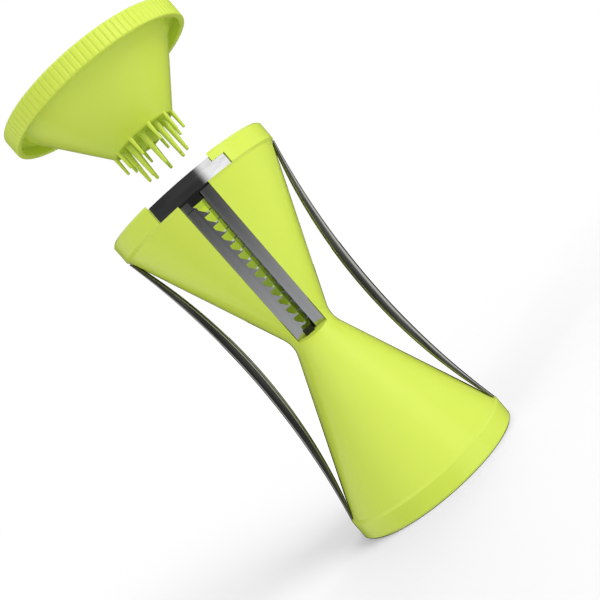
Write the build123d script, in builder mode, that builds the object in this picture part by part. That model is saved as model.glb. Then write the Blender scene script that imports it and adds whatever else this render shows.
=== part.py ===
"""Hand-held hourglass spiralizer: two funnels joined at a narrow waist, a toothed blade cartridge
in a slot of the upper funnel, steel bows as side grips, a spiked food holder that turns above the
mouth, and three spare cartridges lying behind the base.

Millimetres, +Z up, origin at the centre of the lower mouth. The slot faces -Y."""
from build123d import *
from math import asin, atan, cos, degrees, pi, radians, sin
import os

os.makedirs("parts", exist_ok=True)

# Hourglass body
body_height = 160.0
mouth_radius = 40.0
rim_height = 8.5
rim_step = 1.1  # how far the rim band stands out from the cone
rim_edge_bevel = 0.9
wall = 2.0
waist_radius = 9.9  # where the two outer cones would meet
waist_blend = 12.0
throat_radius = 6.0
throat_height = 8.0

# Blade cartridge
head_drop = 7.47  # how far the head of the mounted cartridge lies below the mouth
plate_half_width = 8.65
plate_thickness = 1.2
plate_edge_round = 0.4
knife_edge_x = 0.6
knife_bevel_width = 1.9
knife_rise = 1.1  # how far the cutting edge stands inward of the plates
knife_edge_thickness = 0.2
guide_edge_x = -2.6
toe_step = 1.5
toe_length = 12.0
toe_slope_length = 1.8
plug_length = 4.7
plug_inset = 1.2  # how far the head plug reaches into the edge of each plate
plug_proud = 0.4
toe_block_length = 2.2
toe_block_inset = 0.6
notch_slope_length = 1.2
bar_half_length = 14.1
bar_width = 1.4
bar_thickness = 1.4
barb_length = 3.5
barb_thickness = 1.2
barb_width = 1.2
barb_nib = 0.8
barb_nib_length = 1.3

# Toothed strip of a cartridge: the first tooth's place from the toe, the pitch, how long each tooth
# is at its root, and how much its head side slopes back
strip_width = 4.4
strip_thickness = 0.6
strip_end_gap = 0.8
tooth_depth = 2.3
fin_thickness = 0.5
fin_height = 2.2
fin_edge_gap = 0.3
coarse_teeth = {"start": 9.3, "pitch": 10.4, "root": 7.1, "flank": 1.1}
medium_teeth = {"start": 4.7, "pitch": 5.15, "root": 3.4, "flank": 3.1}
fine_teeth = {"start": 3.3, "pitch": 3.75, "root": 2.4, "flank": 2.1}

# Slot and seat of the mounted cartridge
seat_lean = 1.69  # degrees by which the cartridge stands steeper than the cone
seat_toe_y = -6.3
seat_toe_rise = 0.5  # how far the toe lies above the middle of the waist
slot_width = 15.0
slot_overrun = 1.6
seat_side_wall = 1.7
seat_lip = 1.3
seat_reach = 12.0
cartridge_clearance = 0.2
recess_depth = 6.5

# Steel band across the cut in the rim
band_thickness = 0.8
band_recess = 0.6
band_drop = 8.7  # from the mouth down to the band's lower edge
band_height = 7.1
band_left_x = -17.1
band_right_x = 19.5
band_tail_angle = 3.5
band_clearance = 0.05
rim_cut_right_x = 13.8
rim_cut_step_drop = 3.8

# Side bows
bow_mid_outer_x = 31.9
bow_mid_inner_x = 27.7
bow_width = 12.0
bow_sheet = 1.1
bow_edge_bevel = 0.5
bow_tip_thickness = 1.0
bow_tip_recess = 0.5  # how far the tips' outer side lies within the rim's radius
bow_tip_gap = 0.3
bow_overrun_angle = 0.5
bow_hollow_margin = 24.0
bow_tab_width = 8.0
bow_tab_thickness = 0.8
bow_tab_height = 4.0
bow_clearance = 0.05

# Food holder
holder_lift = 53.0  # how far the holder stands above the mouth as stored
holder_radius = 44.7
skirt_height = 8.5
skirt_wall = 2.7
groove_depth = 4.5
holder_cone_radius = 35.5
holder_nose_radius = 15.5
holder_cone_height = 26.0
holder_nose_floor = 2.0
holder_cavity_radius = 33.0
holder_nose_cavity_radius = 14.0
nose_edge_bevel = 0.6
rib_count = 100
rib_groove_width = 0.7
rib_groove_depth = 0.35
cover_radius = 36.4
cover_thickness = 2.0
cover_gap = 0.3
cover_edge_bevel = 0.5
outer_spike_count = 10
outer_spike_ring = 15.2
outer_spike_radius = 1.0
outer_spike_tip = 0.6
outer_spike_root = 2.0
outer_spike_reach = 8.0
inner_spike_count = 8
inner_spike_ring = 10.2
inner_spike_radius = 1.5
inner_spike_tip = 0.7
inner_spike_root = 0.5
inner_spike_reach = 16.0
spike_sides = 8
core_ring_radius = 4.0
core_ring_bore = 2.6
core_ring_reach = 5.0

# Spare cartridges on the table behind the base
spare_first_y = 62.0
spare_pitch = 32.0

# Sizes that follow from the ones above
rim_inner_radius = mouth_radius - wall
cone_top_radius = mouth_radius - rim_step
cone_top_z = body_height - rim_height - rim_step
cone_slope = (cone_top_radius - waist_radius) / (cone_top_z - body_height / 2)
wall_across = wall * (1 + cone_slope**2) ** 0.5
slant = atan(cone_slope) - radians(seat_lean)
seat_plane = Plane(
    origin=(0, seat_toe_y, body_height / 2 + seat_toe_rise),
    x_dir=(1, 0, 0),
    z_dir=(0, -cos(slant), -sin(slant)),
)
cartridge_length = (body_height / 2 - seat_toe_rise - head_drop) / cos(slant)
plug_left_x = guide_edge_x - plug_inset
plug_right_x = knife_edge_x + plug_inset
toe_left_x = guide_edge_x - toe_block_inset
toe_right_x = knife_edge_x + toe_block_inset
plug_start = cartridge_length - plug_length
bar_start = cartridge_length - bar_width
seat_half_width = plate_half_width + cartridge_clearance + seat_side_wall
band_bottom = body_height - band_drop
rim_cut_step_z = body_height - rim_cut_step_drop
band_outer_radius = mouth_radius - band_recess
band_inner_radius = band_outer_radius - band_thickness
band_start_angle = 270 + degrees(asin(band_left_x / band_outer_radius)) - band_tail_angle
band_end_angle = 270 + degrees(asin(band_right_x / band_outer_radius)) + band_tail_angle
tip_outer_x = mouth_radius - bow_tip_recess
tip_inner_x = tip_outer_x - bow_tip_thickness
tip_z = cone_top_z - bow_tip_gap
holder_bottom = body_height + holder_lift
holder_top = holder_bottom + skirt_height
nose_bottom = holder_bottom - holder_cone_height
holder_slope = (holder_cone_radius - holder_nose_radius) / holder_cone_height
groove_root_radius = holder_cone_radius + groove_depth * holder_slope
skirt_inner_radius = holder_radius - skirt_wall


def save(piece, name):
    """Label a finished piece and write it under its name."""
    piece.part.label = name
    export_step(piece.part, f"parts/{name}.step")


def near(value):
    """Say whether a number is a given one, for picking corners by their place."""
    return lambda number: abs(number - value) < 1e-3


def outline(*points):
    """Fill the closed outline through some points of the current sketch."""
    with BuildLine() as path:
        Polyline(*points, close=True)
    make_face(path.edges())


def ring_sector(inner_radius, outer_radius, start_angle, end_angle):
    """Fill the part of a ring between two angles of the current sketch."""
    with BuildLine() as path:
        outer_arc = CenterArc((0, 0), outer_radius, start_angle, end_angle - start_angle)
        inner_arc = CenterArc((0, 0), inner_radius, start_angle, end_angle - start_angle)
        Line(outer_arc @ 0, inner_arc @ 0)
        Line(outer_arc @ 1, inner_arc @ 1)
    make_face(path.edges())


def both_mouths(upper):
    """Follow profile points from the upper mouth with the same points mirrored to the lower one."""
    return upper + [(r, body_height - z) for r, z in reversed(upper)]


# ---------------------------------------------------------------- hourglass body
envelope_side = [
    (mouth_radius, body_height),
    (mouth_radius, body_height - rim_height),
    (cone_top_radius, cone_top_z),
    (waist_radius, body_height / 2),
    (cone_top_radius, body_height - cone_top_z),
    (mouth_radius, rim_height),
    (mouth_radius, 0),
]
cavity_side = both_mouths([
    (rim_inner_radius, body_height),
    (rim_inner_radius, body_height - rim_height + rim_step),
    (cone_top_radius - wall_across, cone_top_z),
    (throat_radius, (body_height + throat_height) / 2),
])

with BuildPart() as envelope:
    with BuildSketch(Plane.XZ):
        outline((0, body_height), *envelope_side, (0, 0))
        fillet(vertices().filter_by(lambda v: near(waist_radius)(v.X)), waist_blend)
        ends = (body_height, 0)
        rim_edges = [v for v in vertices() if near(mouth_radius)(v.X) and round(v.Y, 3) in ends]
        chamfer(rim_edges, rim_edge_bevel)
    revolve(axis=Axis.Z)

with BuildPart() as cavity:
    with BuildSketch(Plane.XZ):
        outline((0, body_height), *cavity_side, (0, 0))
    revolve(axis=Axis.Z)

with BuildPart() as blade_seat:
    with BuildSketch(seat_plane.offset(-seat_lip)):
        with Locations((0, bar_start / 2)):
            Rectangle(2 * seat_half_width, bar_start)
    extrude(amount=seat_lip + seat_reach)
    add(envelope.part, mode=Mode.INTERSECT)


def bow_arc(tip_x, middle_x):
    """Draw an arc of a bow's side view through both tips and the middle, running on past the tips."""
    bulge = tip_x - middle_x
    half_span = tip_z - body_height / 2
    radius = (half_span**2 + bulge**2) / (2 * bulge)
    half_angle = degrees(asin(half_span / radius)) + bow_overrun_angle
    centre = (middle_x + radius, body_height / 2)
    return CenterArc(centre, radius, 180 - half_angle, 2 * half_angle)


def bow_strip(clearance, edge_bevel):
    """Make the right bow's lens between two arcs, as wide as the bow and solid inside."""
    with BuildPart() as piece:
        with BuildSketch(Plane.XZ):
            with BuildLine():
                outer_arc = bow_arc(tip_outer_x + clearance, bow_mid_outer_x + clearance)
                inner_arc = bow_arc(tip_inner_x - clearance, bow_mid_inner_x - clearance)
                Line(outer_arc @ 0, inner_arc @ 0)
                Line(outer_arc @ 1, inner_arc @ 1)
            make_face()
        extrude(amount=bow_width / 2 + clearance, both=True)
        if edge_bevel:
            chamfer(edges().filter_by(GeomType.CIRCLE).sort_by(Axis.X)[-2:], edge_bevel)
        with BuildSketch(Plane.XY.offset(body_height - tip_z - clearance)):
            Rectangle(2 * mouth_radius, 2 * mouth_radius)
        extrude(amount=2 * (tip_z + clearance) - body_height, mode=Mode.INTERSECT)
    return piece.part


def bow_tabs(clearance):
    """Make the right bow's two flat tabs, which reach under the rims."""
    with BuildPart() as piece:
        with BuildSketch(Plane.XZ):
            for tab_z in (tip_z + bow_tab_height / 2, body_height - tip_z - bow_tab_height / 2):
                with Locations((tip_inner_x + bow_tab_thickness / 2, tab_z)):
                    Rectangle(bow_tab_thickness + 2 * clearance, bow_tab_height + 2 * clearance)
        extrude(amount=bow_tab_width / 2 + clearance, both=True)
    return piece.part


with BuildPart() as bow_pockets:
    add(bow_strip(bow_clearance, None))
    add(bow_tabs(bow_clearance))
    mirror(about=Plane.YZ)

with BuildPart() as hourglass_body:
    add(envelope.part)
    add(cavity.part, mode=Mode.SUBTRACT)
    add(blade_seat.part)
    # the slot, and the room behind it where the cartridge lies and is lifted
    with BuildSketch(seat_plane.offset(-recess_depth)):
        with Locations((0, (cartridge_length + slot_overrun) / 2)):
            Rectangle(slot_width, cartridge_length + slot_overrun)
    extrude(amount=recess_depth + seat_reach, mode=Mode.SUBTRACT)
    with BuildSketch(seat_plane):
        side = plate_half_width + cartridge_clearance
        toe_side = side - toe_step
        outline(
            (toe_side, -cartridge_clearance),
            (toe_side, toe_length),
            (side, toe_length + toe_slope_length),
            (side, cartridge_length),
            (-side, cartridge_length),
            (-side, toe_length + toe_slope_length),
            (-toe_side, toe_length),
            (-toe_side, -cartridge_clearance),
        )
    extrude(amount=-recess_depth, mode=Mode.SUBTRACT)
    # room for the cross bar and its barbs
    with BuildSketch(seat_plane.offset(bar_thickness + cartridge_clearance)):
        pocket_half = bar_half_length + cartridge_clearance
        pocket_length = bar_width + slot_overrun
        with Locations((0, bar_start + pocket_length / 2)):
            Rectangle(2 * pocket_half, pocket_length)
        barb_room = barb_width + barb_nib + 2 * cartridge_clearance
        for sign in (1, -1):
            with Locations((sign * (pocket_half - barb_room / 2), bar_start - barb_length / 2)):
                Rectangle(barb_room, barb_length + 2 * cartridge_clearance)
    extrude(amount=-recess_depth, mode=Mode.SUBTRACT)
    # the cut in the rim, with its step at the right, and the groove that holds the steel band
    with BuildSketch(Plane.XZ.offset(rim_inner_radius / 2)):
        outline(
            (band_left_x, band_bottom),
            (band_right_x, band_bottom),
            (band_right_x, rim_cut_step_z),
            (rim_cut_right_x, rim_cut_step_z),
            (rim_cut_right_x, body_height),
            (band_left_x, body_height),
        )
    extrude(amount=mouth_radius, mode=Mode.SUBTRACT)
    with BuildSketch(Plane.XY.offset(band_bottom)):
        ring_sector(
            band_inner_radius - band_clearance,
            band_outer_radius + band_clearance,
            band_start_angle,
            band_end_angle,
        )
    extrude(amount=band_height + band_clearance, mode=Mode.SUBTRACT)
    add(bow_pockets.part, mode=Mode.SUBTRACT)
save(hourglass_body, "hourglass_body")

with BuildPart() as front_band:
    with BuildSketch(Plane.XY.offset(band_bottom)):
        ring_sector(band_inner_radius, band_outer_radius, band_start_angle, band_end_angle)
    extrude(amount=band_height)
save(front_band, "front_band")

# ---------------------------------------------------------------- side bows
with BuildPart() as bow_right:
    add(bow_strip(0, bow_edge_bevel))
    # the inner side is hollow, as a pressed channel is
    with BuildSketch(Plane.XZ):
        with BuildLine():
            web = bow_arc(tip_outer_x - bow_sheet, bow_mid_outer_x - bow_sheet)
            Polyline(web @ 0, (waist_radius, tip_z), (waist_radius, body_height - tip_z), web @ 1)
        make_face()
        with Locations((bow_mid_inner_x, body_height / 2)):
            Rectangle(2 * bow_mid_inner_x, body_height - 2 * bow_hollow_margin, mode=Mode.INTERSECT)
    extrude(amount=bow_width / 2 - bow_sheet, both=True, mode=Mode.SUBTRACT)
    add(bow_tabs(0))
save(bow_right, "bow_right")

with BuildPart() as bow_left:
    add(bow_right.part.mirror(Plane.YZ))
save(bow_left, "bow_left")


# ---------------------------------------------------------------- blade cartridges
def across(place):
    """Give the plane across a cartridge: x as on the cartridge, y inward, z towards its head."""
    return Plane(origin=place.origin, x_dir=place.x_dir, z_dir=place.y_dir)


def plate(place, section, side, edge_x, toe_x, plug_x):
    """Make one long plate: its section run from toe to head, trimmed to its plan."""
    outer = side * plate_half_width
    toe_outer = side * (plate_half_width - toe_step)
    with BuildPart() as piece:
        with BuildSketch(across(place)):
            outline(*section)
            fillet(vertices().filter_by(lambda v: near(outer)(v.X)), plate_edge_round)
        extrude(amount=cartridge_length)
        with BuildSketch(place):
            outline(
                (outer, cartridge_length),
                (outer, toe_length + toe_slope_length),
                (toe_outer, toe_length),
                (toe_outer, 0),
                (toe_x, 0),
                (toe_x, toe_block_length),
                (edge_x, toe_block_length + notch_slope_length),
                (edge_x, plug_start - notch_slope_length),
                (plug_x, plug_start),
                (plug_x, cartridge_length),
            )
        extrude(amount=plate_thickness + knife_rise, both=True, mode=Mode.INTERSECT)
    return piece


def knife_plate(place):
    """Make the cutting plate, whose bevelled edge stands inward of the guide plate."""
    bevel_x = knife_edge_x + knife_bevel_width
    edge_height = plate_thickness + knife_rise
    section = (
        (plate_half_width, 0),
        (plate_half_width, plate_thickness),
        (bevel_x, plate_thickness),
        (knife_edge_x, edge_height),
        (knife_edge_x, edge_height - knife_edge_thickness),
        (bevel_x, 0),
    )
    return plate(place, section, 1, knife_edge_x, toe_right_x, plug_right_x)


def guide_plate(place):
    """Make the plain plate over which the food turns before it meets the cutting edge."""
    section = (
        (-plate_half_width, 0),
        (-plate_half_width, plate_thickness),
        (guide_edge_x, plate_thickness),
        (guide_edge_x, 0),
    )
    return plate(place, section, -1, guide_edge_x, toe_left_x, plug_left_x)


def tooth_strip(place, teeth):
    """Make the comb under the guide plate: flat teeth towards the edge, each with a slitting fin."""
    strip_start = toe_block_length + strip_end_gap
    strip_end = plug_start - strip_end_gap
    last_start = strip_end - teeth["root"]
    count = 1 + int((last_start - teeth["start"]) / teeth["pitch"])
    starts = [teeth["start"] + i * teeth["pitch"] for i in range(count)]
    tip_x = guide_edge_x + tooth_depth
    fin_root = (guide_edge_x, 0)
    fin_top = (knife_edge_x - fin_edge_gap, fin_height)
    with BuildPart() as piece:
        with BuildSketch(place):
            with Locations((guide_edge_x - strip_width / 2, (strip_start + strip_end) / 2)):
                Rectangle(strip_width, strip_end - strip_start)
            for start in starts:
                root_end = start + teeth["root"]
                tip_end = root_end - teeth["flank"]
                outline((guide_edge_x, start), (guide_edge_x, root_end), (tip_x, tip_end), (tip_x, start))
        extrude(amount=strip_thickness)
        with BuildSketch(*[across(place).offset(start) for start in starts]):
            outline(
                fin_root,
                (guide_edge_x, -strip_thickness),
                (fin_top[0], -strip_thickness),
                fin_top,
            )
        extrude(amount=fin_thickness)
    return piece


def head_block(place):
    """Make the black head: a plug between the plates, the cross bar, and a barb at each bar end."""
    with BuildPart() as piece:
        with BuildSketch(place.offset(-plate_thickness - plug_proud)):
            with Locations(((plug_left_x + plug_right_x) / 2, (plug_start + cartridge_length) / 2)):
                Rectangle(plug_right_x - plug_left_x, plug_length)
        extrude(amount=plate_thickness + plug_proud)
        with BuildSketch(place):
            with Locations((0, bar_start + bar_width / 2)):
                Rectangle(2 * bar_half_length, bar_width)
        extrude(amount=bar_thickness)
        with BuildSketch(place):
            inner_x = bar_half_length - barb_width
            nib_top = bar_start - barb_length + barb_nib_length
            outline(
                (bar_half_length, bar_start),
                (bar_half_length, bar_start - barb_length + barb_width / 2),
                (bar_half_length - barb_width / 2, bar_start - barb_length),
                (inner_x - barb_nib, nib_top),
                (inner_x, nib_top),
                (inner_x, bar_start),
            )
            mirror(about=Plane.YZ)
        extrude(amount=barb_thickness)
    return piece


def toe_block(place):
    """Make the small black block between the plates at the toe, with the foot that it lies on."""
    with BuildPart() as piece:
        with BuildSketch(place.offset(-plate_thickness)):
            with Locations(((toe_left_x + toe_right_x) / 2, toe_block_length / 2)):
                Rectangle(toe_right_x - toe_left_x, toe_block_length)
        extrude(amount=plate_thickness + bar_thickness)
    return piece


def cartridge(place, name, teeth):
    """Save the separate pieces of one cartridge, which has no strip where it has no teeth."""
    save(knife_plate(place), f"{name}_knife_plate")
    save(guide_plate(place), f"{name}_guide_plate")
    save(head_block(place), f"{name}_head_block")
    save(toe_block(place), f"{name}_toe_block")
    if teeth:
        save(tooth_strip(place, teeth), f"{name}_tooth_strip")


def table_place(row):
    """Give the plane of a cartridge that lies on the table, outer side down, head towards -X."""
    return Plane(
        origin=(cartridge_length / 2, spare_first_y + row * spare_pitch, bar_thickness),
        x_dir=(0, -1, 0),
        z_dir=(0, 0, -1),
    )


cartridge(seat_plane, "medium", medium_teeth)
cartridge(table_place(0), "fine", fine_teeth)
cartridge(table_place(1), "coarse", coarse_teeth)
cartridge(table_place(2), "plain", None)

# ---------------------------------------------------------------- food holder
rebate_radius = cover_radius + cover_gap
rebate_floor = holder_top - cover_thickness - cover_gap
nose_slope_z = nose_bottom + holder_nose_floor

def spikes(ring, count, root, reach, root_radius, tip_radius):
    """Add a ring of eight-sided spikes that taper downwards, rooted in the nose of the holder."""
    flat_taper = (root_radius - tip_radius) * cos(pi / spike_sides) / (root + reach)
    with BuildSketch(Plane.XY.offset(nose_bottom + root)) as roots:
        with PolarLocations(ring, count):
            RegularPolygon(root_radius, spike_sides)
    extrude(roots.sketch, amount=-(root + reach), taper=degrees(atan(flat_taper)))


rib_pitch = 360 / rib_count
rib_groove_angle = degrees(rib_groove_width / holder_radius)
rib_corners = [
    (radius, rib * rib_pitch + angle)
    for rib in range(rib_count)
    for radius, angle in (
        (holder_radius, (rib_groove_angle - rib_pitch) / 2),
        (holder_radius, (rib_pitch - rib_groove_angle) / 2),
        (holder_radius - rib_groove_depth, rib_pitch / 2),
    )
]

with BuildPart() as food_holder:
    # the skirt, with narrow upright flats all round that shallow grooves part
    with BuildSketch(Plane.XY.offset(holder_bottom)):
        outline(*[(r * cos(radians(angle)), r * sin(radians(angle))) for r, angle in rib_corners])
        Circle(skirt_inner_radius, mode=Mode.SUBTRACT)
    extrude(amount=skirt_height)
    # the hollow cone, with the groove between it and the skirt and the rebate for the cover
    with BuildSketch(Plane.XZ):
        outline(
            (0, nose_bottom),
            (holder_nose_radius, nose_bottom),
            (holder_cone_radius, holder_bottom),
            (groove_root_radius, holder_bottom + groove_depth),
            (skirt_inner_radius, holder_bottom + groove_depth),
            (skirt_inner_radius, holder_top),
            (rebate_radius, holder_top),
            (rebate_radius, rebate_floor),
            (holder_cavity_radius, rebate_floor),
            (holder_cavity_radius, holder_bottom),
            (holder_nose_cavity_radius, nose_slope_z),
            (0, nose_slope_z),
        )
        nose_corner = [v for v in vertices() if near(holder_nose_radius)(v.X)]
        chamfer(nose_corner, nose_edge_bevel)
    revolve(axis=Axis.Z)
    # two rings of spikes and the short ring in the middle of the nose
    spikes(outer_spike_ring, outer_spike_count, outer_spike_root, outer_spike_reach,
           outer_spike_radius, outer_spike_tip)
    spikes(inner_spike_ring, inner_spike_count, inner_spike_root, inner_spike_reach,
           inner_spike_radius, inner_spike_tip)
    with BuildSketch(Plane.XY.offset(nose_bottom - core_ring_reach)):
        Circle(core_ring_radius)
        Circle(core_ring_bore, mode=Mode.SUBTRACT)
    extrude(amount=core_ring_reach + inner_spike_root)
save(food_holder, "food_holder")

with BuildPart() as palm_cover:
    with BuildSketch(Plane.XY.offset(holder_top - cover_thickness)):
        Circle(cover_radius)
    extrude(amount=cover_thickness)
    chamfer(edges().sort_by(Axis.Z)[-1], cover_edge_bevel)
save(palm_cover, "palm_cover")
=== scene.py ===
"""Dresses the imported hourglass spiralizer: lime mouldings, steel bows and band, brushed blade cartridges,
and the plain studio in which it is photographed. Metres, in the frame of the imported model."""
import math

import bmesh
import bpy
import numpy as np
from bpy.props import FloatProperty, FloatVectorProperty, IntProperty, PointerProperty
from bpy.types import Operator, Panel, PropertyGroup
from mathutils import Matrix, Vector


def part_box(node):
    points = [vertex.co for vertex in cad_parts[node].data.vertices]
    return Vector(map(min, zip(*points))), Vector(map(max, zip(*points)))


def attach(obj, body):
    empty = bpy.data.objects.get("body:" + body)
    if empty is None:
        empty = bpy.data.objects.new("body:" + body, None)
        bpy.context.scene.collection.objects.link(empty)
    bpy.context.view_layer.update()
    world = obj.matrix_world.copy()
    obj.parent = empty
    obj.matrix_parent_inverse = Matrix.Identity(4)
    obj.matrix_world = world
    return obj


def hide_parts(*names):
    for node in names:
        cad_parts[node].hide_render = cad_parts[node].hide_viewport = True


bl_info = {
    "name": "Hourglass Spiralizer",
    "version": (1, 0, 0),
    "blender": (4, 5, 0),
    "location": "3D View > Sidebar > Spiralizer",
    "description": "Finishes and studio of a hand-held hourglass spiralizer",
    "category": "Object",
}

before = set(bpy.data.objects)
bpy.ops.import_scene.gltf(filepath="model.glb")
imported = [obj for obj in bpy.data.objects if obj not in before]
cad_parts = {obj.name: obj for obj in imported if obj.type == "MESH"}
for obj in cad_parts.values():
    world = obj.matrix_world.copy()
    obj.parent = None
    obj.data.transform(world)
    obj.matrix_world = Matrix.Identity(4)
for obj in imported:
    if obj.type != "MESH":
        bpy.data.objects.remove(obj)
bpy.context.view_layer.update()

MM = 0.001
CARTRIDGES = ("medium", "fine", "coarse", "plain")
SEAT_SLANT = math.radians(20.7)  # by which the mounted cartridge leans from upright

MERGE_DISTANCE = 1e-7
COVER_GAP = 0.3 * MM  # round and under the palm cover
FLOOR_DROP = 0.05 * MM  # of the floor below the lower rim

# Spike rings of the food holder: the ring's radius, how far the roots reach into the moulding, and
# the radius of each spike at its root and at its tip
OUTER_SPIKE = (15.2 * MM, 2.0 * MM, 1.0 * MM, 0.6 * MM)
INNER_SPIKE = (10.2 * MM, 0.5 * MM, 1.5 * MM, 0.7 * MM)
OUTER_SPIKE_REACH = 8 * MM

# Core ring between the spikes: outer and inner radius, how far it hangs down and reaches up
CORE_RING = (4 * MM, 2.6 * MM, 5 * MM, 0.5 * MM)
CORE_RING_ROUND = 0.35 * MM

# Where a flat of the skirt is sampled, in shares of its pitch from the groove beside it
FLAT_SAMPLES = (-0.5, -0.3, -0.17, -0.09, -0.045, 0, 0.045, 0.09, 0.17, 0.3)

# Bright parts of the room as reflections see them: direction, cosine where each starts and where it
# is full, and its brightness
ROOM = (
    ((0.743, -0.669, 0), 0.84, 0.95, 1.0),
    ((0, 0, 1), 0.22, 0.70, 0.8),
    ((0.50, 0.86, 0.1), 0.30, 0.75, 0.08),
    ((-0.97, 0.24, 0), 0.70, 0.95, 0.6),
    ((1, 0, 0), 0.75, 0.95, 0.3),
    ((0, 0, -1), 0.56, 0.72, 0.55),
)
WINDOW = (0.69, -0.34, 0.64)  # direction of the brighter side of the even light

# Lamps: name, place, width, power, and whether reflections show it
LAMPS = (
    ("key_lamp", (0.88, -0.60, 0.74), 0.9, 8.6, False),
    ("fill_lamp", (-0.9, -0.6, 0.35), 0.8, 1.8, False),
    ("spark_lamp", (-0.55, -0.46, 0.80), 0.11, 0.35, True),
    ("back_lamp", (0.3, 0.9, 0.7), 0.8, 3.0, False),
)
LAMP_TARGET = (0, 0, 0.11)


# ---------------------------------------------------------------- settings
class PlasticSettings(PropertyGroup):
    """Colours and gloss of the mouldings."""
    green: FloatVectorProperty(
        name="Lime", description="Colour of the lime mouldings", subtype="COLOR", size=3,
        min=0, max=1, default=(0.60, 0.735, 0.088))
    green_deep: FloatVectorProperty(
        name="Deep lime", description="Colour where the moulding is a little denser", subtype="COLOR",
        size=3, min=0, max=1, default=(0.59, 0.722, 0.079))
    black: FloatVectorProperty(
        name="Black", description="Colour of the cartridges' end blocks", subtype="COLOR", size=3,
        min=0, max=1, default=(0.01033, 0.01033, 0.01096))
    gloss_low: FloatProperty(
        name="Least roughness", description="Roughness where the moulding is cleanest",
        min=0, max=1, default=0.17)
    gloss_high: FloatProperty(
        name="Most roughness", description="Roughness where it has been handled",
        min=0, max=1, default=0.25)


class SteelSettings(PropertyGroup):
    """Colours of the steel pieces."""
    blade: FloatVectorProperty(
        name="Blade steel", description="Colour of the brushed plates", subtype="COLOR", size=3,
        min=0, max=1, default=(0.66, 0.67, 0.68))
    bow: FloatVectorProperty(
        name="Bow steel", description="Colour of the satin bows", subtype="COLOR", size=3,
        min=0, max=1, default=(0.52, 0.52, 0.48))
    band: FloatVectorProperty(
        name="Band steel", description="Colour of the polished band", subtype="COLOR", size=3,
        min=0, max=1, default=(0.82, 0.82, 0.83))


class BowSettings(PropertyGroup):
    """Shape of the side bows."""
    middle_outer: FloatProperty(
        name="Outer side", description="From the axis to the bow's outer side at mid height",
        unit="LENGTH", min=0.01, default=31.9 * MM)
    middle_inner: FloatProperty(
        name="Inner side", description="From the axis to the bow's inner side at mid height",
        unit="LENGTH", min=0.01, default=27.9 * MM)
    tip_thickness: FloatProperty(
        name="Tip thickness", description="Thickness of the flattened tips", unit="LENGTH", min=0,
        default=1.0 * MM)
    tip_cover: FloatProperty(
        name="Tip cover", description="Length of each tip's tab hidden in the rim", unit="LENGTH", min=0,
        default=4.0 * MM)
    sheet: FloatProperty(
        name="Sheet", description="Thickness of the pressed steel", unit="LENGTH", min=0.0002,
        default=1.1 * MM)


class HolderSettings(PropertyGroup):
    """Shape of the food holder's moulding."""
    radius: FloatProperty(
        name="Radius", description="Over the flats of the skirt", unit="LENGTH", min=0.02,
        default=44.66 * MM)
    skirt_height: FloatProperty(
        name="Skirt height", description="Height of the gripped skirt", unit="LENGTH", min=0.002,
        default=8.5 * MM)
    skirt_wall: FloatProperty(
        name="Skirt wall", description="Wall of the skirt", unit="LENGTH", min=0.0005,
        default=2.66 * MM)
    skirt_groove: FloatProperty(
        name="Skirt groove", description="Depth of the gap between skirt and cone", unit="LENGTH",
        min=0, default=4.5 * MM)
    cone_radius: FloatProperty(
        name="Cone radius", description="Of the cone level with the skirt's lower edge", unit="LENGTH",
        min=0.005, default=35.5 * MM)
    nose_radius: FloatProperty(
        name="Nose radius", description="Of the cone's lower end", unit="LENGTH", min=0.002,
        default=15.5 * MM)
    cone_height: FloatProperty(
        name="Cone height", description="From the nose up to the skirt's lower edge", unit="LENGTH",
        min=0.005, default=26 * MM)
    hollow_radius: FloatProperty(
        name="Hollow radius", description="Of the hollow under the palm cover", unit="LENGTH",
        min=0.002, default=33 * MM)
    nose_hollow_radius: FloatProperty(
        name="Nose hollow radius", description="Of the hollow at the nose", unit="LENGTH", min=0.001,
        default=14 * MM)
    nose_floor: FloatProperty(
        name="Nose floor", description="Thickness of the cone's lower end", unit="LENGTH", min=0.0005,
        default=2 * MM)
    rib_count: IntProperty(name="Flats", description="Upright flats round the skirt", min=20, default=100)
    groove_depth: FloatProperty(
        name="Groove depth", description="Depth of the fine grooves between the flats", unit="LENGTH",
        min=0, default=0.3 * MM)
    groove_width: FloatProperty(
        name="Groove width", description="Half width of a groove", unit="LENGTH", min=0,
        default=0.3 * MM)
    edge_round: FloatProperty(
        name="Edge rounding", description="Rounding of the moulding's edges", unit="LENGTH", min=0,
        default=0.7 * MM)
    outer_spikes: IntProperty(name="Outer spikes", description="Short thin spikes", min=1, default=10)
    inner_spikes: IntProperty(name="Inner spikes", description="Long stout spikes", min=1, default=8)


class StudioSettings(PropertyGroup):
    """Camera and light."""
    distance: FloatProperty(
        name="Camera distance", description="From the lens to the point it looks at", unit="LENGTH",
        min=0.1, default=0.425)
    aim: FloatVectorProperty(
        name="Aim", description="Point the camera looks at", subtype="TRANSLATION", unit="LENGTH",
        size=3, default=(0.0044, 0, 0.093))
    elevation: FloatProperty(
        name="Elevation", description="Height angle of the camera", unit="ROTATION",
        default=math.radians(2))
    roll: FloatProperty(
        name="Roll", description="How far the camera is turned about its own axis", unit="ROTATION",
        default=math.radians(40.9))
    lens: FloatProperty(
        name="Lens", description="Focal length on a 36 mm wide frame", unit="CAMERA", min=1,
        default=60.8)
    ambient: FloatProperty(
        name="Ambient", description="Light from all around", min=0, default=0.58)
    ambient_lean: FloatProperty(
        name="Ambient lean", description="How much of it comes from the window's side", min=0, max=1,
        default=0.35)
    dark_side: FloatProperty(
        name="Dark side", description="Brightness of the dark room behind the camera", min=0, max=1,
        default=0.04)


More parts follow.
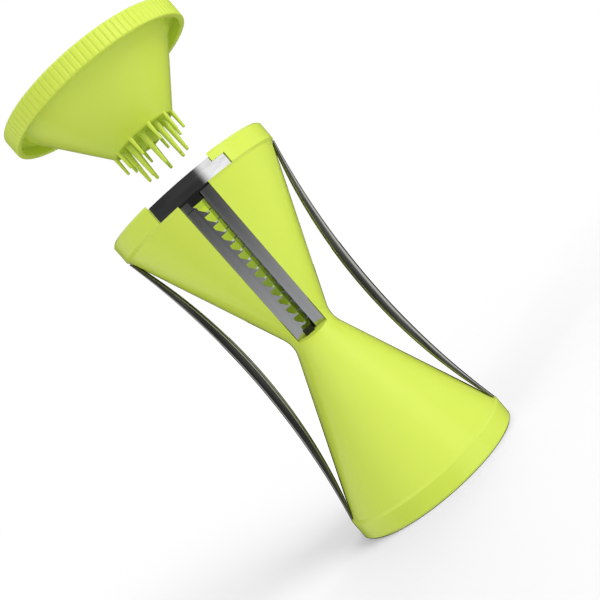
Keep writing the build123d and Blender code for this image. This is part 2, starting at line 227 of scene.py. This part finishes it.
class SpiralizerSettings(PropertyGroup):
    """All settings of the spiralizer."""
    plastic: PointerProperty(type=PlasticSettings)
    steel: PointerProperty(type=SteelSettings)
    bow: PointerProperty(type=BowSettings)
    holder: PointerProperty(type=HolderSettings)
    studio: PointerProperty(type=StudioSettings)


# ---------------------------------------------------------------- shader building
def add_node(tree, kind, **values):
    """Add a node and set its attributes, or its inputs where a name is one of them."""
    node = tree.nodes.new(kind)
    for key, value in values.items():
        label = key.replace("_", " ")
        if label in node.inputs:
            node.inputs[label].default_value = value
        else:
            setattr(node, key, value)
    return node


def link(tree, source, output, target, socket):
    """Join one node's output to another's input."""
    tree.links.new(source.outputs[output], target.inputs[socket])


def new_group(name, inputs, outputs):
    """Start a shader node group with named sockets; give its tree and its two end nodes."""
    tree = bpy.data.node_groups.new(name, "ShaderNodeTree")
    for socket, kind, default in inputs:
        made = tree.interface.new_socket(socket, in_out="INPUT", socket_type=kind)
        if default is not None:
            made.default_value = default
    for socket, kind in outputs:
        tree.interface.new_socket(socket, in_out="OUTPUT", socket_type=kind)
    return tree, tree.nodes.new("NodeGroupInput"), tree.nodes.new("NodeGroupOutput")


def moulded_skin_group():
    """Skin of a moulding: slow changes of tone, smudges where it is handled, and a fine grain."""
    found = bpy.data.node_groups.get("moulded_skin")
    if found:
        return found
    tree, start, end = new_group(
        "moulded_skin",
        [("Tone size", "NodeSocketFloat", 24.0), ("Smudge size", "NodeSocketFloat", 70.0),
         ("Grain size", "NodeSocketFloat", 1400.0)],
        [("Tone", "NodeSocketFloat"), ("Smudge", "NodeSocketFloat"), ("Grain", "NodeSocketFloat")])
    place = add_node(tree, "ShaderNodeTexCoord")
    for size, output, detail, low, high in (
            ("Tone size", "Tone", 1.0, 0.2, 0.8),
            ("Smudge size", "Smudge", 4.0, 0.25, 0.85),
            ("Grain size", "Grain", 2.0, 0.3, 0.7)):
        noise = add_node(tree, "ShaderNodeTexNoise", Detail=detail)
        spread = add_node(tree, "ShaderNodeMapRange", From_Min=low, From_Max=high)
        link(tree, place, "Object", noise, "Vector")
        link(tree, start, size, noise, "Scale")
        link(tree, noise, "Fac", spread, "Value")
        link(tree, spread, "Result", end, output)
    return tree


def drawn_lines_group():
    """Fine lines that run along X of the given vector: streaks of tone, and their height."""
    found = bpy.data.node_groups.get("drawn_lines")
    if found:
        return found
    tree, start, end = new_group(
        "drawn_lines",
        [("Vector", "NodeSocketVector", None), ("Along", "NodeSocketFloat", 22.0),
         ("Across", "NodeSocketFloat", 2600.0)],
        [("Streak", "NodeSocketFloat"), ("Height", "NodeSocketFloat")])
    split = add_node(tree, "ShaderNodeSeparateXYZ")
    join = add_node(tree, "ShaderNodeCombineXYZ")
    link(tree, start, "Vector", split, "Vector")
    for axis, size in (("X", "Along"), ("Y", "Across"), ("Z", "Across")):
        scale = add_node(tree, "ShaderNodeMath", operation="MULTIPLY")
        tree.links.new(split.outputs[axis], scale.inputs[0])
        tree.links.new(start.outputs[size], scale.inputs[1])
        tree.links.new(scale.outputs[0], join.inputs[axis])
    fine = add_node(tree, "ShaderNodeTexNoise", Scale=1.0, Detail=3.0)
    coarse = add_node(tree, "ShaderNodeTexNoise", Scale=0.13, Detail=2.0)
    link(tree, join, "Vector", fine, "Vector")
    link(tree, join, "Vector", coarse, "Vector")
    streak = add_node(tree, "ShaderNodeMapRange", From_Min=0.35, From_Max=0.65)
    link(tree, coarse, "Fac", streak, "Value")
    link(tree, streak, "Result", end, "Streak")
    link(tree, fine, "Fac", end, "Height")
    return tree


def new_material(name, **shader_values):
    """Start a material with a Principled shader whose plain values are set on its own sockets."""
    material = bpy.data.materials.new(name)
    material.use_nodes = True
    tree = material.node_tree
    shader = tree.nodes["Principled BSDF"]
    for key, value in shader_values.items():
        shader.inputs[key.replace("_", " ")].default_value = value
    return material, tree, shader


def put_group(tree, group):
    """Place a node group in a material."""
    node = tree.nodes.new("ShaderNodeGroup")
    node.node_tree = group
    return node


def moulded_material(name, colour, deep_colour, gloss, grain_strength, **shader_values):
    """Moulded plastic: two near tones, roughness between two values by smudges, a fine grain."""
    material, tree, shader = new_material(name, **shader_values)
    skin = put_group(tree, moulded_skin_group())
    tone = add_node(tree, "ShaderNodeMix", data_type="RGBA")
    tone.inputs["A"].default_value = (*colour, 1)
    tone.inputs["B"].default_value = (*deep_colour, 1)
    tree.links.new(skin.outputs["Tone"], tone.inputs["Factor"])
    tree.links.new(tone.outputs["Result"], shader.inputs["Base Color"])
    rough = add_node(tree, "ShaderNodeMapRange", To_Min=gloss[0], To_Max=gloss[1])
    link(tree, skin, "Smudge", rough, "Value")
    link(tree, rough, "Result", shader, "Roughness")
    bump = add_node(tree, "ShaderNodeBump", Strength=grain_strength, Distance=0.05 * MM)
    link(tree, skin, "Grain", bump, "Height")
    link(tree, bump, "Normal", shader, "Normal")
    return material


def brushed_material(name, colour, turn, gloss, line_strength, along=22.0, across=2600.0):
    """Steel with fine lines along X once the object's coordinates have been turned."""
    material, tree, shader = new_material(name, Metallic=1.0)
    place = add_node(tree, "ShaderNodeTexCoord")
    turned = add_node(tree, "ShaderNodeMapping", Rotation=turn)
    lines = put_group(tree, drawn_lines_group())
    lines.inputs["Along"].default_value = along
    lines.inputs["Across"].default_value = across
    link(tree, place, "Object", turned, "Vector")
    link(tree, turned, "Vector", lines, "Vector")
    tone = add_node(tree, "ShaderNodeMix", data_type="RGBA")
    tone.inputs["A"].default_value = (*(c * 0.86 for c in colour), 1)
    tone.inputs["B"].default_value = (*(min(c * 1.08, 1) for c in colour), 1)
    tree.links.new(lines.outputs["Streak"], tone.inputs["Factor"])
    tree.links.new(tone.outputs["Result"], shader.inputs["Base Color"])
    rough = add_node(tree, "ShaderNodeMapRange", To_Min=gloss[0], To_Max=gloss[1])
    link(tree, lines, "Streak", rough, "Value")
    link(tree, rough, "Result", shader, "Roughness")
    bump = add_node(tree, "ShaderNodeBump", Strength=line_strength, Distance=0.02 * MM)
    link(tree, lines, "Height", bump, "Height")
    link(tree, bump, "Normal", shader, "Normal")
    return material


def green_material():
    """Lime gloss moulding, made once."""
    found = bpy.data.materials.get("lime_moulding")
    if found:
        return found
    plastic = bpy.context.scene.spiralizer.plastic
    return moulded_material(
        "lime_moulding", plastic.green, plastic.green_deep,
        gloss=(plastic.gloss_low, plastic.gloss_high), grain_strength=0.12, Specular_IOR_Level=0.5)


def finish_node(node, material):
    """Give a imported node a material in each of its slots."""
    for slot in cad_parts[node].material_slots:
        slot.material = material


def cartridge_turn(name):
    """Angles that bring a cartridge's length onto X: the mounted one stands slanted in its seat."""
    if name == "medium":
        return (-SEAT_SLANT, math.radians(90), 0)
    return (0, 0, 0)


# ---------------------------------------------------------------- surfaces
def soft_corners(corners, rounding, steps=5):
    """Round an open profile's inner corners, each by its own reach.

    A corner B between A and C is replaced by the quadratic curve from B + (A - B) r to B + (C - B) r
    with B as its control point, and a support point stands just outside each end of the curve.
    """
    corners = np.asarray(corners, float)
    t = np.linspace(0, 1, steps)[:, None]
    rows = [corners[:1]]
    for before, corner, after, reach in zip(corners, corners[1:], corners[2:], rounding):
        to_before = (before - corner) / np.linalg.norm(before - corner)
        to_after = (after - corner) / np.linalg.norm(after - corner)
        start, end = corner + to_before * reach, corner + to_after * reach
        rows.append(start + to_before * reach * 0.3)
        rows.append((1 - t) ** 2 * start + 2 * t * (1 - t) * corner + t**2 * end)
        rows.append(end + to_after * reach * 0.3)
    rows.append(corners[-1:])
    return np.vstack(rows)


def revolved_grid(profile, angles, relief=0.0):
    """Carry a profile of radius and height round Z: x = (r + relief) cos a, y = (r + relief) sin a."""
    radius = profile[:, :1] + relief
    x, y = radius * np.cos(angles), radius * np.sin(angles)
    return np.stack([x, y, np.broadcast_to(profile[:, 1:], x.shape)], axis=-1)


def grid_faces(rows, columns, first):
    """Index the quads of a grid whose columns close on themselves."""
    row, column = np.meshgrid(np.arange(rows - 1), np.arange(columns), indexing="ij")
    nearby = (column + 1) % columns
    quads = np.stack([row * columns + column, row * columns + nearby,
                      (row + 1) * columns + nearby, (row + 1) * columns + column], axis=-1)
    return quads.reshape(-1, 4) + first


def mesh_piece(name, grids, material, body):
    """Join closed grids into one smooth mesh, merge its poles and turn its faces outwards."""
    points, faces, first = [], [], 0
    for grid in grids:
        points.append(grid.reshape(-1, 3))
        faces.append(grid_faces(grid.shape[0], grid.shape[1], first))
        first += len(points[-1])
    mesh = bpy.data.meshes.new(name)
    mesh.from_pydata(np.vstack(points).tolist(), [], np.vstack(faces).tolist())
    work = bmesh.new()
    work.from_mesh(mesh)
    bmesh.ops.remove_doubles(work, verts=work.verts, dist=MERGE_DISTANCE)
    bmesh.ops.recalc_face_normals(work, faces=work.faces)
    work.to_mesh(mesh)
    work.free()
    mesh.polygons.foreach_set("use_smooth", np.ones(len(mesh.polygons), bool))
    mesh.materials.append(material)
    piece = bpy.data.objects.new(name, mesh)
    bpy.context.scene.collection.objects.link(piece)
    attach(piece, body)
    return piece


def spike_grid(centre, root_z, tip_z, root_radius, tip_radius, columns=16):
    """One upright spike: its radius falls evenly from root to tip, and the tip is a rounded dome."""
    angles = np.linspace(0, 2 * np.pi, columns, endpoint=False)
    side = np.array([(0, root_z), (root_radius, root_z), (tip_radius, tip_z), (0, tip_z)])
    profile = soft_corners(side, (tip_radius * 0.3, tip_radius * 0.85), steps=6)
    grid = revolved_grid(profile, angles)
    grid[..., 0] += centre[0]
    grid[..., 1] += centre[1]
    return grid


# ---------------------------------------------------------------- pieces
class SPIRALIZER_OT_hourglass(Operator):
    """Finish the hourglass moulding in lime"""
    bl_idname = "spiralizer.hourglass"
    bl_label = "Hourglass"

    def execute(self, context):
        finish_node("hourglass_body", green_material())
        return {"FINISHED"}


class SPIRALIZER_OT_bows(Operator):
    """Form the two side bows: a rounded steel channel that swells towards the middle"""
    bl_idname = "spiralizer.bows"
    bl_label = "Side bows"

    def execute(self, context):
        settings = context.scene.spiralizer
        satin = brushed_material(
            "satin_bow_steel", settings.steel.bow, turn=(0, math.radians(90), 0), gloss=(0.24, 0.34),
            line_strength=0.25)
        for node, side in (("bow_right", 1), ("bow_left", -1)):
            low, high = (Vector(corner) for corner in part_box(node))
            tip_x = max(abs(low.x), abs(high.x))
            grid = self.channel_grid(settings.bow, tip_x, high.z - low.z, (high.z + low.z) / 2, high.y)
            grid[..., 0] *= side
            piece = mesh_piece(f"{node}_channel", [grid], satin, "hourglass")
            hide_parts(node)
        return {"FINISHED"}

    def channel_grid(self, bow, tip_x, span, middle_z, half_width, rows=81):
        """Carry a channel's section along the bow. At height z from the middle both sides are arcs,
        x = m + R - sqrt(R R - z z), where the radius R makes each arc reach its place at the tips; the
        section is scaled between the inner and the outer arc. Rows crowd towards the tips, and each
        tip is closed by a fan to its middle."""
        reach = span / 2 - bow.tip_cover
        z = np.sin(np.linspace(-np.pi / 2, np.pi / 2, rows)) * reach
        sides = []
        for middle, tip in ((bow.middle_inner, tip_x - bow.tip_thickness), (bow.middle_outer, tip_x)):
            bulge = tip - middle
            radius = (reach**2 + bulge**2) / (2 * bulge)
            sides.append(middle + radius - np.sqrt(radius**2 - z**2))
        inner, outer = (side[:, None] for side in sides)
        depth = bow.middle_outer - bow.middle_inner
        lip = half_width - bow.sheet
        floor = depth - bow.sheet
        section = [(depth, 0), (depth, half_width), (0, half_width), (0, lip), (floor, lip),
                   (floor, -lip), (0, -lip), (0, -half_width), (depth, -half_width), (depth, 0)]
        front, edge = depth * 0.46, bow.sheet * 0.45
        soft_section = soft_corners(section, (front, *(edge,) * 6, front), steps=7)[:-1]
        x = inner + (outer - inner) * soft_section[:, 0] / depth
        y = np.broadcast_to(soft_section[:, 1], x.shape)
        height = np.broadcast_to(middle_z + z[:, None], x.shape)
        grid = np.stack([x, y, height], axis=-1)
        ends = [np.broadcast_to(row.mean(axis=0), row.shape)[None] for row in (grid[0], grid[-1])]
        return np.concatenate([ends[0], grid, ends[1]])


class SPIRALIZER_OT_front_band(Operator):
    """Finish the band across the cut in the rim in polished steel"""
    bl_idname = "spiralizer.front_band"
    bl_label = "Front band"

    def execute(self, context):
        steel = context.scene.spiralizer.steel
        polished = brushed_material(
            "polished_band_steel", steel.band, turn=(0, 0, 0), gloss=(0.06, 0.12), line_strength=0.05)
        finish_node("front_band", polished)
        return {"FINISHED"}


class SPIRALIZER_OT_food_holder(Operator):
    """Mould the food holder: skirt with fine flats, hollow cone and two rings of spikes"""
    bl_idname = "spiralizer.food_holder"
    bl_label = "Food holder"

    def execute(self, context):
        holder = context.scene.spiralizer.holder
        low, high = (Vector(corner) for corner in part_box("food_holder"))
        cover_low, cover_high = (Vector(corner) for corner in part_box("palm_cover"))
        top = high.z
        skirt_bottom = top - holder.skirt_height
        nose = skirt_bottom - holder.cone_height
        grids = [self.shell_grid(holder, top, skirt_bottom, nose, cover_high.x, cover_low.z)]
        grids += self.spike_grids(holder, nose, low.z)
        piece = mesh_piece("food_holder_moulding", grids, green_material(), "holder")
        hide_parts("food_holder")
        finish_node("palm_cover", green_material())
        return {"FINISHED"}

    def shell_grid(self, holder, top, skirt_bottom, nose, cover_radius, cover_bottom):
        """Skirt and cone in one: the profile is carried round Z, and on the skirt's outside the radius
        is that of flats, R cos(p/2) / cos(a), less a groove of depth d exp(-(s/w)^2) between flats."""
        skirt_inner = holder.radius - holder.skirt_wall
        slope = (holder.cone_radius - holder.nose_radius) / holder.cone_height
        groove_top = skirt_bottom + holder.skirt_groove
        rebate = cover_radius + COVER_GAP
        rebate_floor = cover_bottom - COVER_GAP
        hollow, floor = holder.hollow_radius, nose + holder.nose_floor
        corners = [
            (0, nose), (holder.nose_radius, nose),
            (holder.cone_radius + slope * holder.skirt_groove, groove_top), (skirt_inner, groove_top),
            (skirt_inner, skirt_bottom), (holder.radius, skirt_bottom), (holder.radius, top),
            (rebate, top), (rebate, rebate_floor), (hollow, rebate_floor), (hollow, skirt_bottom),
            (holder.nose_hollow_radius, floor), (0, floor)]
        rounding = np.array((0.8, 0.5, 0.5, 1, 1, 1.3, 0.3, 0.2, 0.2, 1, 1)) * holder.edge_round
        profile = soft_corners(corners, rounding)
        pitch = 2 * np.pi / holder.rib_count
        local = np.array(FLAT_SAMPLES) * pitch
        angles = (np.arange(holder.rib_count)[:, None] * pitch + local).ravel()
        from_groove = np.tile(np.abs(local), holder.rib_count)
        flats = holder.radius * (np.cos(pitch / 2) / np.cos(pitch / 2 - from_groove) - 1)
        arc = from_groove * holder.radius
        grooves = -holder.groove_depth * np.exp(-(arc / holder.groove_width) ** 2)
        outside = np.clip((profile[:, :1] - skirt_inner) / holder.skirt_wall, 0, 1) ** 3
        return revolved_grid(profile, angles, outside * (flats + grooves))

    def spike_grids(self, holder, nose, tips):
        """A ring of short thin spikes from the nose's edge, a ring of long stout ones, and the core ring,
        a tube whose profile closes on itself."""
        grids = []
        for count, tip_z, (ring, root, root_radius, tip_radius) in (
                (holder.outer_spikes, nose - OUTER_SPIKE_REACH, OUTER_SPIKE),
                (holder.inner_spikes, tips, INNER_SPIKE)):
            for turn in np.arange(count) * 2 * np.pi / count:
                centre = ring * np.array((np.cos(turn), np.sin(turn)))
                grids.append(spike_grid(centre, nose + root, tip_z, root_radius, tip_radius))
        outer, inner, hang, root = CORE_RING
        low, high = nose - hang, nose + root
        tube = [(outer, (low + high) / 2), (outer, low), (inner, low), (inner, high), (outer, high),
                (outer, (low + high) / 2)]
        profile = soft_corners(tube, (CORE_RING_ROUND,) * 4)
        grids.append(revolved_grid(profile, np.linspace(0, 2 * np.pi, 40, endpoint=False)))
        return grids


class SPIRALIZER_OT_cartridges(Operator):
    """Finish the mounted blade cartridge and the three spares"""
    bl_idname = "spiralizer.cartridges"
    bl_label = "Blade cartridges"

    def execute(self, context):
        settings = context.scene.spiralizer
        black = moulded_material(
            "black_moulding", settings.plastic.black, settings.plastic.black, gloss=(0.38, 0.5),
            grain_strength=0.2)
        for name in CARTRIDGES:
            brushed = brushed_material(
                f"{name}_blade_steel", settings.steel.blade, turn=cartridge_turn(name),
                gloss=(0.13, 0.22), line_strength=0.2)
            for piece in ("knife_plate", "guide_plate", "tooth_strip"):
                if f"{name}_{piece}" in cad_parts:
                    finish_node(f"{name}_{piece}", brushed)
            for piece in ("head_block", "toe_block"):
                finish_node(f"{name}_{piece}", black)
        return {"FINISHED"}


# ---------------------------------------------------------------- studio
class SPIRALIZER_OT_stage(Operator):
    """Set up the floor, the soft light, the white surroundings and the camera"""
    bl_idname = "spiralizer.stage"
    bl_label = "Studio"

    def execute(self, context):
        studio = context.scene.spiralizer.studio
        self.make_floor(context)
        self.make_world(context, studio)
        self.make_lamps(context)
        self.make_camera(context, studio)
        return {"FINISHED"}

    def make_floor(self, context):
        """A pale floor just under the rim, which shows only the object's shadow."""
        reach, height = 6.0, -FLOOR_DROP
        mesh = bpy.data.meshes.new("studio_floor")
        corners = [(-reach, -reach, height), (reach, -reach, height), (reach, reach, height),
                   (-reach, reach, height)]
        mesh.from_pydata(corners, [], [(0, 1, 2, 3)])
        floor = bpy.data.objects.new("studio_floor", mesh)
        context.scene.collection.objects.link(floor)
        material, tree, shader = new_material("studio_floor_white", Roughness=0.8)
        shader.inputs["Base Color"].default_value = (0.9, 0.9, 0.9, 1)
        mesh.materials.append(material)
        floor.is_shadow_catcher = True
        floor.visible_glossy = False

    def make_world(self, context, studio):
        """White for the camera, a room with bright parts for reflections, even light otherwise."""
        world = bpy.data.worlds.new("studio_surroundings")
        context.scene.world = world
        world.use_nodes = True
        tree = world.node_tree
        background = tree.nodes["Background"]
        background.inputs["Strength"].default_value = 1.0
        path = add_node(tree, "ShaderNodeLightPath")
        place = add_node(tree, "ShaderNodeTexCoord")
        side = None
        for direction, low, high, level in ROOM:
            lean = add_node(tree, "ShaderNodeVectorMath", operation="DOT_PRODUCT")
            lean.inputs[1].default_value = direction
            link(tree, place, "Generated", lean, 0)
            soft = add_node(
                tree, "ShaderNodeMapRange", From_Min=low, From_Max=high, To_Min=studio.dark_side,
                To_Max=level, interpolation_type="SMOOTHSTEP")
            tree.links.new(lean.outputs["Value"], soft.inputs["Value"])
            if side is None:
                side = soft.outputs["Result"]
            else:
                join = add_node(tree, "ShaderNodeMath", operation="MAXIMUM")
                tree.links.new(side, join.inputs[0])
                tree.links.new(soft.outputs["Result"], join.inputs[1])
                side = join.outputs[0]
        even = add_node(tree, "ShaderNodeMix", data_type="RGBA")
        window = add_node(tree, "ShaderNodeVectorMath", operation="DOT_PRODUCT")
        window.inputs[1].default_value = WINDOW
        link(tree, place, "Generated", window, 0)
        ambient = add_node(
            tree, "ShaderNodeMapRange", From_Min=-1, From_Max=1,
            To_Min=studio.ambient * (1 - studio.ambient_lean),
            To_Max=studio.ambient * (1 + studio.ambient_lean))
        tree.links.new(window.outputs["Value"], ambient.inputs["Value"])
        tree.links.new(ambient.outputs["Result"], even.inputs["A"])
        tree.links.new(path.outputs["Is Glossy Ray"], even.inputs["Factor"])
        tree.links.new(side, even.inputs["B"])
        seen = add_node(tree, "ShaderNodeMix", data_type="RGBA")
        seen.inputs["B"].default_value = (1, 1, 1, 1)
        tree.links.new(path.outputs["Is Camera Ray"], seen.inputs["Factor"])
        tree.links.new(even.outputs["Result"], seen.inputs["A"])
        tree.links.new(seen.outputs["Result"], background.inputs["Color"])

    def make_lamps(self, context):
        """Soft round lamps about the object, and a small one for its highlights."""
        for name, place, width, power, reflected in LAMPS:
            data = bpy.data.lights.new(name, "AREA")
            data.shape = "DISK"
            data.size = width
            data.energy = power
            lamp = bpy.data.objects.new(name, data)
            lamp.location = place
            lamp.visible_glossy = reflected
            aim = Vector(LAMP_TARGET) - lamp.location
            lamp.rotation_euler = aim.to_track_quat("-Z", "Y").to_euler()
            context.scene.collection.objects.link(lamp)

    def make_camera(self, context, studio):
        """The photograph's view: level with the object, rolled so that it leans to the left."""
        data = bpy.data.cameras.new("photo_camera")
        data.lens = studio.lens
        data.sensor_width = 36.0
        camera = bpy.data.objects.new("photo_camera", data)
        look = Vector((0, math.cos(studio.elevation), -math.sin(studio.elevation)))
        level = Vector((1, 0, 0))
        upright = Vector((0, math.sin(studio.elevation), math.cos(studio.elevation)))
        right = level * math.cos(studio.roll) - upright * math.sin(studio.roll)
        up = level * math.sin(studio.roll) + upright * math.cos(studio.roll)
        turn = Matrix((right, up, -look)).transposed().to_4x4()
        camera.matrix_world = Matrix.Translation(Vector(studio.aim) - look * studio.distance) @ turn
        context.scene.collection.objects.link(camera)
        context.scene.camera = camera
        context.scene.view_settings.view_transform = "Standard"


class SPIRALIZER_PT_panel(Panel):
    """Lists the pieces in the 3D view's sidebar"""
    bl_idname = "SPIRALIZER_PT_panel"
    bl_label = "Spiralizer"
    bl_space_type = "VIEW_3D"
    bl_region_type = "UI"
    bl_category = "Spiralizer"

    def draw(self, context):
        settings = context.scene.spiralizer
        for group, names in (
                (settings.plastic, ("green", "green_deep", "black", "gloss_low", "gloss_high")),
                (settings.steel, ("blade", "bow", "band")),
                (settings.bow, ("middle_outer", "middle_inner", "tip_thickness", "tip_cover", "sheet")),
                (settings.holder, ("radius", "skirt_height", "skirt_wall", "skirt_groove", "cone_radius",
                                   "nose_radius", "cone_height", "hollow_radius",
                                   "nose_hollow_radius", "nose_floor", "rib_count", "groove_depth",
                                   "groove_width", "edge_round", "outer_spikes", "inner_spikes")),
                (settings.studio, ("distance", "aim", "elevation", "roll", "lens", "ambient",
                                   "ambient_lean", "dark_side"))):
            box = self.layout.box()
            for name in names:
                box.prop(group, name)
        for operator in OPERATORS:
            self.layout.operator(operator.bl_idname)


OPERATORS = (
    SPIRALIZER_OT_hourglass,
    SPIRALIZER_OT_bows,
    SPIRALIZER_OT_front_band,
    SPIRALIZER_OT_food_holder,
    SPIRALIZER_OT_cartridges,
    SPIRALIZER_OT_stage,
)
CLASSES = (PlasticSettings, SteelSettings, BowSettings, HolderSettings, StudioSettings,
           SpiralizerSettings, *OPERATORS, SPIRALIZER_PT_panel)


def register():
    """Register the classes and hang the settings on the scene."""
    for kind in CLASSES:
        bpy.utils.register_class(kind)
    bpy.types.Scene.spiralizer = PointerProperty(type=SpiralizerSettings)


def unregister():
    """Undo what register does."""
    del bpy.types.Scene.spiralizer
    for kind in reversed(CLASSES):
        bpy.utils.unregister_class(kind)


def main():
    """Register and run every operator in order."""
    register()
    for operator in OPERATORS:
        group, name = operator.bl_idname.split(".")
        getattr(getattr(bpy.ops, group), name)()


if __name__ == "__main__":
    main()
